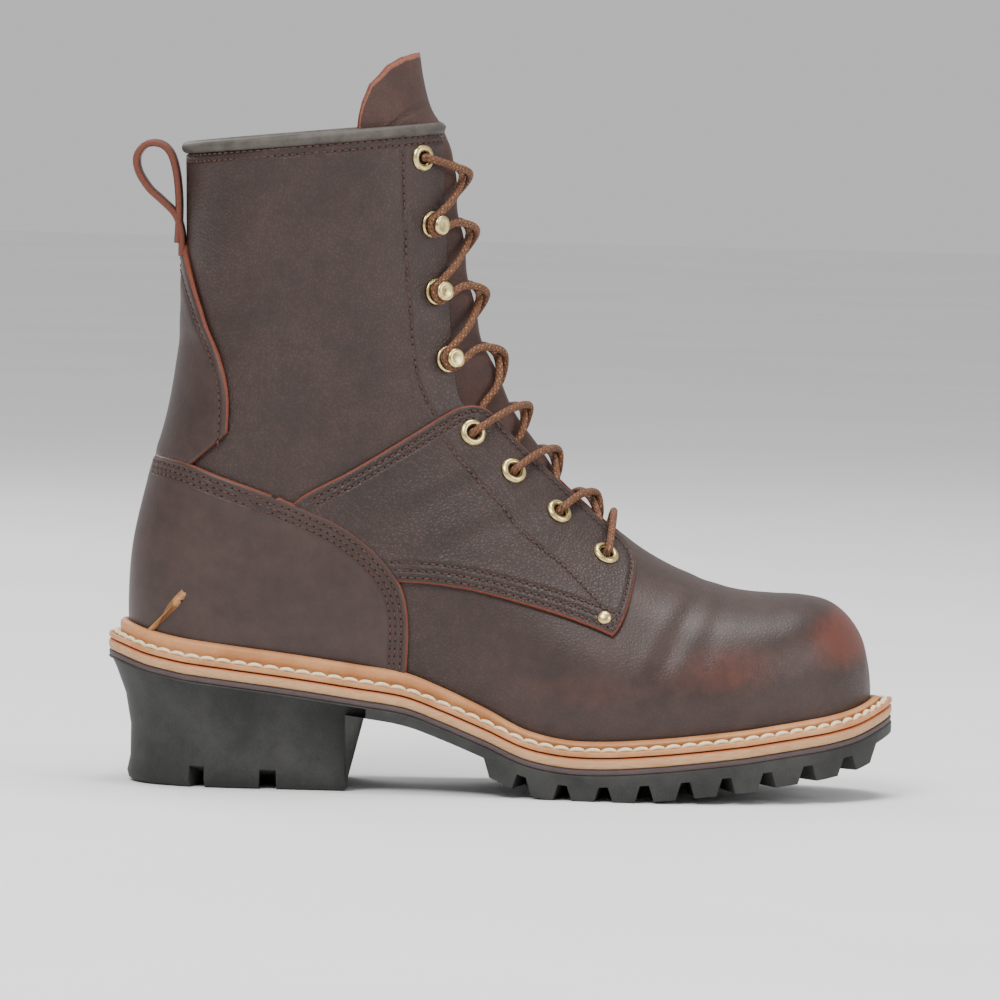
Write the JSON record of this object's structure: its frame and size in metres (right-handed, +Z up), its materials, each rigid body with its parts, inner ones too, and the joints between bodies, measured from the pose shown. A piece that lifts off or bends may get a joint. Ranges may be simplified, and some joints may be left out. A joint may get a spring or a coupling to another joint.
{
  "type": "logger boot",
  "caption": "Right-foot lace-up work boot with a tall shaft, high undercut heel, welted sole and deep lugs.",
  "frame": {"origin": "on the floor, under the middle of the boot's length and breadth", "axes": "+X towards the toe, +Y towards the inner (medial) side, +Z up the shaft"},
  "size_m": [0.3064, 0.1128, 0.2854],
  "materials": {
    "rubber": "black moulded rubber, dull",
    "slip": "dark brown leather slip sole edge",
    "welt": "tan leather, waxed edge",
    "board": "natural insole leather",
    "leather": "dark brown oiled leather",
    "binding": "grey brown soft collar leather",
    "tongue": "reddish brown leather",
    "brass": "antique brass",
    "lace": "round braided lace, brown and tan"
  },
  "bodies": {
    "root": {"outsole": "rubber", "slip_sole": "slip", "midsole": "welt", "welt": "welt", "insole": "board", "upper": "leather", "counter": "leather", "backstay": "leather", "quarter_lateral": "leather", "quarter_medial": "leather", "collar_binding": "binding", "tongue": "tongue", "pull_loop": "tongue", "rivet_lateral": "brass", "rivet_medial": "brass", "lace_bar": "lace", "eyelet_lateral_1": "brass", "eyelet_medial_1": "brass", "eyelet_lateral_2": "brass", "eyelet_medial_2": "brass", "eyelet_lateral_3": "brass", "eyelet_medial_3": "brass", "eyelet_lateral_4": "brass", "eyelet_medial_4": "brass", "eyelet_lateral_8": "brass", "eyelet_medial_8": "brass", "hook_lateral_5": "brass", "hook_medial_5": "brass", "hook_lateral_6": "brass", "hook_medial_6": "brass", "hook_lateral_7": "brass", "hook_medial_7": "brass", "lace_cross_1": "lace", "lace_cross_2": "lace", "lace_cross_3": "lace", "lace_cross_4": "lace", "lace_cross_5": "lace", "lace_cross_6": "lace", "lace_cross_7": "lace"}
  },
  "joints": []
}
